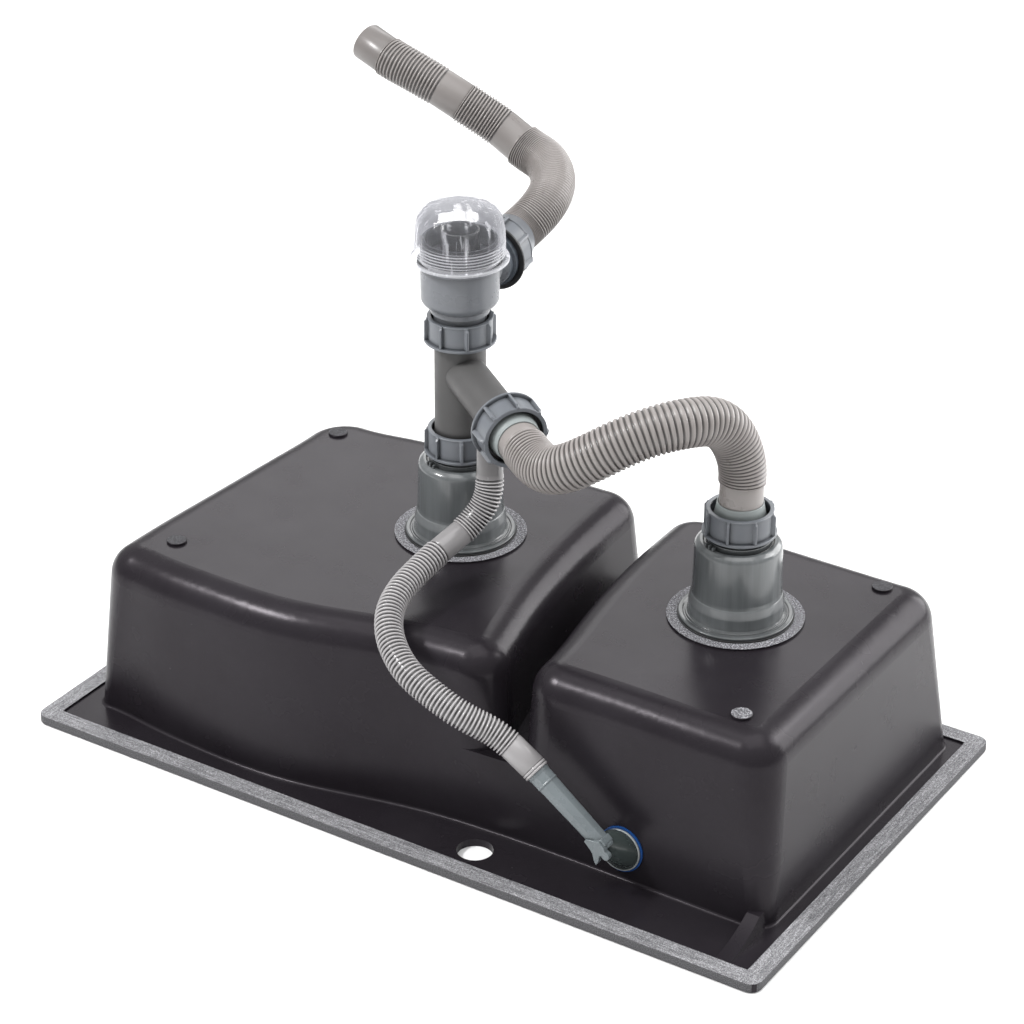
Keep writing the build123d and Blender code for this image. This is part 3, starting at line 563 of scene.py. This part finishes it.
# ---------------------------------------------------------------------------
# camera
# ---------------------------------------------------------------------------
AZ, EL, ROLL, DIST = 32.5445, 28.6757, 0.3426, 3343.7819
TARGET = Vector((-150.3668, 235.7712, 100.0))
a_, e_, r_ = map(math.radians, (AZ, EL, ROLL))
back = Vector((math.sin(a_) * math.cos(e_), -math.cos(a_) * math.cos(e_), math.sin(e_)))
right = Vector((math.cos(a_), math.sin(a_), 0))
up = back.cross(right)
rt = right * math.cos(r_) + up * math.sin(r_)
ud = -right * math.sin(r_) + up * math.cos(r_)
pos = (TARGET + back * DIST) * MM
cam = bpy.data.cameras.new("camera")
cam.sensor_width = 36.0
cam.lens = 111.114
cam.clip_start = 0.1
cam.clip_end = 30.0
cam_ob = bpy.data.objects.new("camera", cam)
cam_ob.matrix_world = Matrix(((rt.x, ud.x, back.x, pos.x), (rt.y, ud.y, back.y, pos.y), (rt.z, ud.z, back.z, pos.z), (0, 0, 0, 1)))
scene.collection.objects.link(cam_ob)
scene.camera = cam_ob

# ---------------------------------------------------------------------------
# hoses
# ---------------------------------------------------------------------------
line_c = Line3(route_line("route_connecting", CONNECTING_ROUTE))
line_v = Line3(route_line("route_overflow", OVERFLOW_ROUTE))
line_o = Line3(route_line("route_outlet", OUTLET_ROUTE))


def crest_c(s):
    return 22.5 + 0.7 * math.sin(math.pi * min(1, max(0, (s - 40) / 290)))


PITCH_C = table([(0, 3.8), (60, 3.9), (85, 4.2), (110, 4.9), (140, 5.3), (200, 5.15), (235, 4.9), (262, 5.3), (290, 4.4), (305, 3.7), (340, 3.6)])
L = line_c.length
st = [(0.0, 20.6), (0.6, 20.8), (29.5, 20.8), (30.6, 20.9)]
st += rings(31.0, L - 45.0, PITCH_C, lambda s: crest_c(s) - 1.8, crest_c, 0.74)
st += [(L - 44.6, 20.8), (L - 0.6, 20.8), (L, 20.6)]
hose_c = hose_mesh("connecting_hose_skin", line_c, st, "hose_beige", "sink", bore=18.2)
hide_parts("connecting_hose")

PITCH_V = table([(35, 3.4), (75, 3.5), (100, 3.9), (125, 4.2), (150, 4.25), (200, 4.35), (235, 4.5), (260, 4.25), (300, 4.0), (330, 3.87), (360, 3.78),
                 (400, 3.95)])
L = line_v.length
# third values: painted shade in the grooves and at the dips of the cuffs
st = [(0.0, 12.4, 0.66), (0.5, 12.6, 0.78), (28.0, 12.8, 0.72), (31.0, 13.3, 0.6), (33.4, 13.5, 0.5), (33.9, 12.4, 0.9)]
st += rings(34.4, 93.4, PITCH_V, 12.0, 13.7, 0.58)
st += [(94.0, 12.4, 0.5), (95.0, 12.7, 0.5), (124.2, 12.7, 0.5), (125.2, 12.4, 0.5)]
st += rings(125.6, L - 35.6, PITCH_V, 11.9, 13.7, 0.58)
st += [(L - 35.0, 12.4, 0.5), (L - 34.0, 12.9, 0.24), (L - 6.2, 12.9, 0.24), (L - 5.9, 12.55, 0.9), (L - 5.4, 12.55, 0.9), (L - 5.1, 12.95, 0.1),
       (L - 3.2, 12.95, 0.1), (L - 2.9, 12.55, 0.9), (L - 2.4, 12.55, 0.9), (L - 2.1, 12.9, 0.1), (L - 0.6, 12.9, 0.1), (L, 12.4, 0.2)]
hose_v = hose_mesh("overflow_hose_skin", line_v, st, "hose_grey", "sink", seg=44, bore=10.5)
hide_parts("overflow_hose")

PITCH_O = table([(28, 2.9), (45, 2.5), (60, 2.2), (135, 2.15), (150, 2.9), (167, 3.05)])
DEPTH_O = table([(28, 1.5), (60, 1.3), (85, 0.6), (132, 0.6), (150, 1.3), (167, 1.6)])
# strength of the painted shade in the outlet hose's grooves, along its length
DARK_O = table([(28, 0.9), (55, 0.85), (75, 0.45), (90, 0.18), (128, 0.18), (145, 0.7), (155, 1.0)])
L = line_o.length
st = [(0.0, 20.6), (26.0, 20.8), (28.0, 21.0)]
st += rings(28.4, L - 192.6, PITCH_O, lambda s: 22.3 - DEPTH_O(s), lambda s: 22.3, 0.66, 9, DARK_O)
# third values: painted shade on the smooth sections and the end cuff as well
st += [(L - 192.2, 20.2, 0.5), (L - 191.0, 20.0, 0.40), (L - 166.0, 19.7, 0.40), (L - 165.0, 19.5, 0.5)]
st += rings(L - 164.6, L - 119.9, 3.3, 19.3, 20.9, 0.6)
st += [(L - 119.5, 19.5, 0.5), (L - 118.5, 19.6, 0.34), (L - 93.2, 19.5, 0.34), (L - 92.2, 19.3, 0.5)]
st += rings(L - 91.8, L - 30.2, 3.56, 19.1, 20.6, 0.6)
st += [(L - 29.8, 19.0, 0.5), (L - 28.8, 19.15, 0.55), (L - 0.8, 19.1, 0.55), (L, 18.6, 0.3)]
hose_o = hose_mesh("outlet_hose_skin", line_o, st, "hose_beige", "sink", bore=16.8)
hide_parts("outlet_hose")


def metres(line, n=160):
    return [tuple(line.at(line.length * i / n)[0] * MM) for i in range(n + 1)]


metres(line_c)
metres(line_v)
metres(line_o)

# ---------------------------------------------------------------------------
# coupling nuts
# ---------------------------------------------------------------------------
NUT_H = 25.5


def nut_mesh(name, place, body, node, mat="nut", mouth=27.6, cone=False, ring_black=False):
    ribs = 8
    steps = []            # (angle in degrees, radius in the grip zone, radius of the top ring)
    for k in range(ribs):
        a0 = 360.0 / ribs * k
        steps += [(a0 - 11.5, 31.4, 31.9), (a0 - 6.2, 31.7, 31.9), (a0 - 3.4, 34.6, 33.0), (a0 - 2.6, 35.1, 33.2), (a0 - 0.2, 35.1, 33.2),
                  (a0 + 0.7, 34.7, 33.0), (a0 + 1.1, 31.3, 31.9)]
        for q in range(1, 8):
            a = a0 + 1.1 + (32.4 * q / 8.0)
            steps.append((a, 31.4, 31.9))
    steps.sort(key=lambda t: t[0])
    rows = [  # (kind, z, value)
        ("fix", 0.4, 29.9), ("fix", 0.0, 30.4), ("fix", 0.0, 34.5), ("lip", 0.5, 35.1), ("lip", 2.2, 35.1), ("lipin", 2.7, 34.4),
        ("grip", 2.8, 0), ("grip", NUT_H - 3.6, 0), ("gripin", NUT_H - 1.7, 0), ("ring", NUT_H - 1.6, 0), ("ring", NUT_H - 0.5, 0),
        ("ringtop", NUT_H, 0)]
    if cone:
        rows += [("fix", NUT_H, 30.6), ("fix", NUT_H + 2.0, 29.4), ("fix", NUT_H + 18.6, 24.9), ("fix", NUT_H + 19.8, 24.4),
                 ("fix", NUT_H + 19.8, 22.9), ("fix", NUT_H + 15.0, 22.9), ("fix", NUT_H - 4.0, 29.8)]
    else:
        rows += [("fix", NUT_H, mouth + 0.5), ("fix", NUT_H - 0.5, mouth), ("fix", NUT_H - 4.0, mouth), ("fix", NUT_H - 4.6, 29.8)]
    verts, faces = [], []
    for a, rg, rr in steps:
        ar = math.radians(a)
        for kind, z, v in rows:
            if kind == "fix" or kind in ("lip", "lipin"):
                r = v
            elif kind == "grip":
                r = rg
            elif kind == "gripin":
                r = 31.4 + (rg - 31.4) * 0.45 if rg > 31.6 else rg
            elif kind == "ring":
                r = rr
            else:
                r = rr - 0.6
            verts.append(place @ Vector((r * math.cos(ar), r * math.sin(ar), z)))
    n, m = len(steps), len(rows)
    for i in range(n):
        j = (i + 1) % n
        for k in range(m):
            l = (k + 1) % m
            faces.append((i * m + k, i * m + l, j * m + l, j * m + k))
    inv = place.inverted()

    def which(c):
        q = inv @ c
        return 1 if (ring_black and q.z < 2.0 and math.hypot(q.x, q.y) > 27) else 0
    o = finish_mesh(name, verts, faces, [mat, "black"] if ring_black else mat, body, 28, which if ring_black else None)
    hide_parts(node)
    return o


def at_z(d, z, spin=0.0):
    return Matrix.Translation(Vector((d[0], d[1], z))) @ Matrix.Rotation(math.radians(spin), 4, "Z")


FRONT = math.degrees(math.atan2(-math.cos(a_), math.sin(a_)))     # direction to the camera in plan
nut_mesh("lower_tee_nut_skin", at_z(D1, 280.9, FRONT + 5.0), "lower_tee_nut", "lower_tee_nut")
nut_mesh("small_outlet_nut_skin", at_z(D2, 280.9, FRONT + 23.6), "small_outlet_nut", "small_outlet_nut")
nut_mesh("upper_tee_nut_skin", at_z(D1, 400.2, FRONT + 14.0), "upper_tee_nut", "upper_tee_nut")
nut_mesh("branch_nut_skin", frame_at(BRANCH_O + BRANCH_D * 113.0, BRANCH_D) @ Matrix.Rotation(math.radians(10), 4, "Z"),
         "branch_nut", "branch_nut")
nut_mesh("trap_outlet_nut_skin", frame_at(OUTLET_O + OUTLET_D * 65.0, OUTLET_D) @ Matrix.Rotation(math.radians(20), 4, "Z"),
         "trap_outlet_nut", "trap_outlet_nut", cone=True, ring_black=True)

# ---------------------------------------------------------------------------
# strainer cups
# ---------------------------------------------------------------------------
SH = 272.0


def strainer_cup(name, d, node):
    z = 193.6
    pl = at_z(d, 0, FRONT)
    o = lathe(name, [
        (43.4, z), (54.2, z, 0.4), (54.5, z + 2.2, 0.9), (53.0, z + 2.7, 0.5), (50.4, z + 2.4, 0.3), (49.2, z + 1.6, 0.5), (48.2, z + 1.7, 0.3),
        (47.6, z + 3.2, 0.5), (46.4, z + 3.4, 0.4), (45.6, z + 5.0, 0.8), (45.2, 209.5, 4.0), (43.6, 217.6, 3.0), (43.0, 218.6, 0.8),
        (42.6, 222.0, 2.0), (41.3, SH - 3.0, 8.0), (36.5, SH + 0.8, 3.0), (33.6, SH + 1.2, 0.6), (32.4, SH - 1.2, 0.6), (30.8, SH - 1.0, 0.5),
        (30.4, SH + 3.4, 0.5), (31.4, SH + 4.0, 0.3), (31.4, SH + 5.2, 0.4), (29.6, SH + 5.6, 0.4), (29.2, SH + 7.0, 0.3), (29.2, 294.0, 0.4),
        (26.4, 294.0, 0.4), (26.4, 283.0), (24.6, 281.0), (24.6, 275.5), (30.0, SH - 3.6, 2.0), (38.4, SH - 6.0, 4.0), (40.0, 222.0),
        (41.6, 214.0), (43.4, 207.0)], "cup", "sink", pl, seg=128, replaces=(node,))
    # small stop lugs beside the neck
    verts, faces = [], []
    for a in (-62, -54, -46):
        base = len(verts)
        ca, sa = math.cos(math.radians(a)), math.sin(math.radians(a))
        for r in (32.4, 36.6):
            for w in (-0.9, 0.9):
                for zz in (SH - 2.0, SH + (5.4 if a == -54 else 4.4)):
                    verts.append(pl @ Vector((r * ca - w * sa, r * sa + w * ca, zz)))
        faces += [tuple(base + i for i in f) for f in ((0, 1, 3, 2), (4, 6, 7, 5), (0, 4, 5, 1), (2, 3, 7, 6), (1, 5, 7, 3), (0, 2, 6, 4))]
    finish_mesh(name + "_lugs", verts, faces, "cup", "sink", 30, bevel=0.3)
    return o


strainer_cup("large_cup_skin", D1, "large_strainer_cup")
strainer_cup("small_cup_skin", D2, "small_strainer_cup")

# ---------------------------------------------------------------------------
# sleeves round the hose ends
# ---------------------------------------------------------------------------
SLEEVE = [(21.0, 0.0), (24.6, 0.0, 0.4), (24.5, 12.0, 0.6), (23.9, 14.0, 2.0), (22.2, 22.5, 1.2), (22.1, 24.6, 0.4), (21.0, 25.0, 0.2)]
lathe("branch_sleeve_skin", SLEEVE, "sleeve", "sink", frame_at(BRANCH_O + BRANCH_D * 121.0, BRANCH_D), replaces=("branch_sleeve",))
lathe("small_sleeve_skin", SLEEVE, "sleeve", "sink", at_z(D2, 288.0), replaces=("small_outlet_sleeve",))

# ---------------------------------------------------------------------------
# trap: clear cup with thread rings and flutes, bell-shaped standpipe
# ---------------------------------------------------------------------------
def flutes(a, r, z):
    if z > 507.0 and r > 12:
        w = max(0.0, min(1.0, (z - 507.0) / 9.0)) * max(0.0, min(1.0, (r - 12) / 12.0))
        r += 1.1 * w * (abs(math.cos(7 * a)) ** 0.8 - 0.62)
    return r, z


outer = [(47.2, 484.2, 0.8), (47.2, 486.5, 0.9), (45.8, 487.2, 0.5), (44.2, 487.3, 0.8), (43.3, 489.0, 0.6)]
zz = 489.6
for i in range(5):
    outer += [(42.8, zz, 0.2), (43.5, zz + 0.9, 0.3), (42.8, zz + 1.8, 0.2)]
    zz += 3.0
outer += [(43.2, 505.5, 1.0), (42.7, 515.0, 5.0), (40.4, 526.0, 8.0), (34.4, 533.8, 8.0), (22.0, 538.1, 7.0), (6.0, 538.6, 2.0), (0.0, 538.6)]
inner = [(0.0, 536.2), (6.0, 536.2, 2.0), (21.2, 535.7, 6.0), (32.8, 531.8, 6.0), (38.4, 524.8, 6.0), (40.6, 514.6, 4.0), (41.0, 505.0, 1.0),
         (38.0, 503.4, 0.3), (38.2, 490.0, 0.3), (38.2, 484.2)]
lathe("trap_cup_skin", outer + inner, "clear", "trap_cup", at_z(D1, 0), seg=144, closed=False, angle=40, n=4, wobble=flutes,
      replaces=("trap_cup",))
lathe("trap_neck_rim", [(33.6, 498.6), (36.2, 498.6), (36.2, 505.6, 0.6), (33.6, 505.6, 0.6)], "trap", "sink", at_z(D1, 0), seg=96)

# ---------------------------------------------------------------------------
# overflow elbow: faceted arm, glossy dark neck, flange with a light rim
# ---------------------------------------------------------------------------
OVER = Vector((223.0, -158.4, 40.0))
WALL_N = Vector((0, -math.cos(math.radians(3.9)), math.sin(math.radians(3.9))))
PIPE_O = Vector((147.9, -186.0, 112.0))
PIPE_D = Vector((-33.8, 0, 24.9)).normalized()
ARM_U = -PIPE_D
ARM_V = Vector((-PIPE_D.z, 0, PIPE_D.x)).normalized()
if ARM_V.z < 0:
    ARM_V = -ARM_V
ARM_END = PIPE_O + ARM_U * 84.0


def arm_mesh():
    """octagonal arm with softened edges, spigot, shoulder and a raised panel line"""
    rows = [(26.0, 8.4), (26.0, 9.9), (0.0, 9.9), (0.0, 11.3), (-3.0, 11.3), (-3.3, 11.0), (-12.5, 10.9), (-13.0, 11.2), (-14.0, 11.2),
            (-14.5, 10.5), (-52.0, 9.7), (-89.0, 8.9), (-93.0, 8.5), (-94.5, 7.2), (-94.5, 0.01)]
    seg = 64
    verts, faces = [], []
    for t, r in rows:
        c = PIPE_O + PIPE_D * t
        flat = 0.0 if t >= 0 else 0.62
        for i in range(seg):
            a = 2 * math.pi * i / seg
            m = (a + math.pi / 8) % (math.pi / 4) - math.pi / 8
            k = 1 + flat * (math.cos(math.pi / 8) / math.cos(m) * 1.03 - 1)
            verts.append(c + ARM_V * (r * k * math.cos(a)) + Vector((0, -1, 0)) * (r * k * math.sin(a)))
    for q in range(len(rows) - 1):
        for i in range(seg):
            j = (i + 1) % seg
            faces.append((q * seg + i, q * seg + j, (q + 1) * seg + j, (q + 1) * seg + i))
    return finish_mesh("overflow_arm", verts, faces, "elbow", "sink", 14)


def slab(name, outline, y0, y1, mat, bevel=0.8):
    """plate with an outline in the arm's plane, (along the arm, across it)"""
    n = len(outline)
    verts = []
    for y in (y0, y1):
        for u, v in outline:
            q = ARM_END + ARM_U * u + ARM_V * v
            verts.append((q.x, y, q.z))
    faces = [tuple(range(n)), tuple(range(2 * n - 1, n - 1, -1))]
    faces += [(i, (i + 1) % n, n + (i + 1) % n, n + i) for i in range(n)]
    return finish_mesh(name, verts, faces, mat, "sink", 30, bevel=bevel)


arm = arm_mesh()
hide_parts("overflow_elbow")
lobe = [(14.6 + 4.1 * math.cos(math.radians(a)), 1.4 + 4.1 * math.sin(math.radians(a))) for a in range(-130, 111, 20)]
slab("overflow_key", [(-9.0, -4.4), (-8.4, -5.4), (-4.0, -6.0), (0.5, -6.8), (4.4, -8.0), (7.5, -10.6), (11.0, -13.2), (14.6, -14.4), (14.4, -11.0),
                      (13.0, -7.8), (11.2, -5.0), (10.9, -3.4)] + lobe +
     [(11.2, 5.2), (9.4, 6.6), (6.0, 7.6), (1.0, 7.4), (-3.0, 4.0), (-9.0, -2.0)], -197.2, -191.5, "elbow", 0.7)
slab("overflow_end_block", [(0.0, -8.6), (7.5, -8.4), (10.0, -5.0), (10.6, 0.0), (9.4, 5.4), (7.2, 8.8), (0.0, 9.2)], -194.8, -180.0, "elbow", 1.4)
neck_foot = OVER + WALL_N * 3.0
neck_dir = (ARM_END + ARM_U * 3.0 + Vector((0, 2.0, 0))) - neck_foot


def neck_mesh():
    """cone from the flange's face to the end of the arm, leaning over as it goes"""
    seg = 72
    stops = [(0.0, 19.3), (0.05, 19.2), (0.11, 18.7), (0.3, 17.0), (0.5, 14.8), (0.72, 12.0), (0.97, 8.4), (1.0, 6.0)]
    verts, faces = [], []
    for t, r in stops:
        m = frame_at(neck_foot + neck_dir * t, WALL_N.lerp(neck_dir.normalized(), t))
        verts += [m @ Vector((r * math.cos(2 * math.pi * i / seg), r * math.sin(2 * math.pi * i / seg), 0)) for i in range(seg)]
    for q in range(len(stops) - 1):
        for i in range(seg):
            j = (i + 1) % seg
            faces.append((q * seg + i, q * seg + j, (q + 1) * seg + j, (q + 1) * seg + i))
    faces += [tuple(range(seg)), tuple(range((len(stops) - 1) * seg, len(stops) * seg))]
    return finish_mesh("overflow_neck", verts, faces, "elbow_dark", "sink", 30)


neck_mesh()
flange_place = frame_at(OVER, WALL_N)
flange_back = flange_place.inverted()
lathe("overflow_flange", [(12.0, 2.1), (21.0, 2.1, 0.4), (21.1, 3.9, 0.5), (20.4, 4.7, 0.4), (19.7, 4.3, 0.2), (12.0, 4.0)], ["elbow_light", "elbow_dark"],
      "sink", flange_place, seg=72, poly_mat=lambda c: 0 if (flange_back @ c).xy.length > 19.8 else 1)


def trap_material():
    """the trap's plastic, darker and bluish on the face of the outlet port"""
    m = plastic("trap_body_grey", (0.138, 0.146, 0.160), 0.3, 0.5, 0.04, streak=(8, 8, 0.5))
    dot = m.node("ShaderNodeVectorMath", operation="DOT_PRODUCT")
    m.link(m.coord(), dot.inputs[0])
    dot.inputs[1].default_value = OUTLET_D
    near = m.math("GREATER_THAN", dot.outputs["Value"], OUTLET_D.dot(OUTLET_O) * MM + 0.0535)
    old = m.b.inputs["Base Color"].links[0].from_socket
    rings_ = m.noise(260.0, 2.0)
    dark = m.ramp(rings_, [(0.3, (0.06, 0.07, 0.085)), (0.7, (0.10, 0.115, 0.135))])
    m.color(m.mix(near, old, dark))
    return m


MATS["trap_cad"] = trap_material()


def paint(node, key):
    o = SINK_NODES[node]
    o.data.materials.clear()
    o.data.materials.append(MATS[key].m)


for n, key in {
    "sink_body": "sink", "tee_pipe": "pipe", "trap_body": "trap_cad", "trap_standpipe": "standpipe", "overflow_elbow": "elbow", "overflow_gasket": "blue",
    "overflow_rosette": "steel", "trap_cup_seal": "black", "trap_outlet_seal": "black", "lower_cone_seal": "black", "upper_cone_seal": "black",
    "large_strainer_flange": "steel", "small_strainer_flange": "steel", "large_flange_gasket": "black", "small_flange_gasket": "black",
    "large_cup_gasket": "black", "small_cup_gasket": "black", "large_centre_screw": "steel", "small_centre_screw": "steel",
    "large_basket": "steel", "small_basket": "steel", "large_basket_seal": "black", "small_basket_seal": "black",
    "large_basket_knob": "black", "small_basket_knob": "black"}.items():
    paint(n, key)

# ---------------------------------------------------------------------------
# floor and light
# ---------------------------------------------------------------------------
fm = Mat("floor", (0.86, 0.86, 0.86), 0.75, 0.2)
fm.color(fm.ramp(fm.noise(3.0, 2.0), [(0.3, (0.87, 0.87, 0.87)), (0.7, (0.89, 0.89, 0.89))]))
bpy.ops.mesh.primitive_plane_add(size=30, location=(0, 0, 0))
floor = bpy.context.object
floor.name = "floor"
floor.data.materials.append(fm.m)

world = bpy.data.worlds.new("studio")
scene.world = world
world.use_nodes = True
wt = world.node_tree
bg = wt.nodes["Background"]
tc = wt.nodes.new("ShaderNodeTexCoord")
sep = wt.nodes.new("ShaderNodeSeparateXYZ")
mr = wt.nodes.new("ShaderNodeMapRange")
wt.links.new(tc.outputs["Generated"], sep.inputs["Vector"])
wt.links.new(sep.outputs["Z"], mr.inputs["Value"])
for sock, v in (("From Min", 0.0), ("From Max", 0.75), ("To Min", 0.42), ("To Max", 0.95)):
    mr.inputs[sock].default_value = v
wt.links.new(mr.outputs["Result"], bg.inputs["Strength"])
bg.inputs["Color"].default_value = (1.0, 1.0, 1.0, 1)


def softbox(name, direction_, distance, size, size_y, radiance, aim=(0, 0, 0.15)):
    li = bpy.data.lights.new(name, "AREA")
    li.shape = "RECTANGLE"
    li.size = size
    li.size_y = size_y
    li.energy = math.pi * size * size_y * radiance
    o = bpy.data.objects.new(name, li)
    d = Vector(direction_).normalized()
    o.location = Vector(aim) + d * distance
    o.rotation_euler = d.to_track_quat("Z", "Y").to_euler()
    o.visible_camera = False
    scene.collection.objects.link(o)
    return o


softbox("key", (-0.47, -0.48, 0.74), 2.6, 0.55, 0.22, 122.0)
softbox("side", (0.48, 0.74, 0.32), 2.4, 1.9, 1.4, 5.0)
softbox("floor_right", (0.3, 0.3, 0.9), 0.9, 0.4, 0.4, 6.0, (0.56, 0.25, 0.0))
softbox("behind", (-0.472, 0.740, 0.50), 3.2, 1.8, 1.1, 2.1)
softbox("top", (0.1, -0.1, 1.0), 3.5, 3.0, 3.0, 2.1)

scene.view_settings.view_transform = "Standard"
scene.view_settings.look = "None"
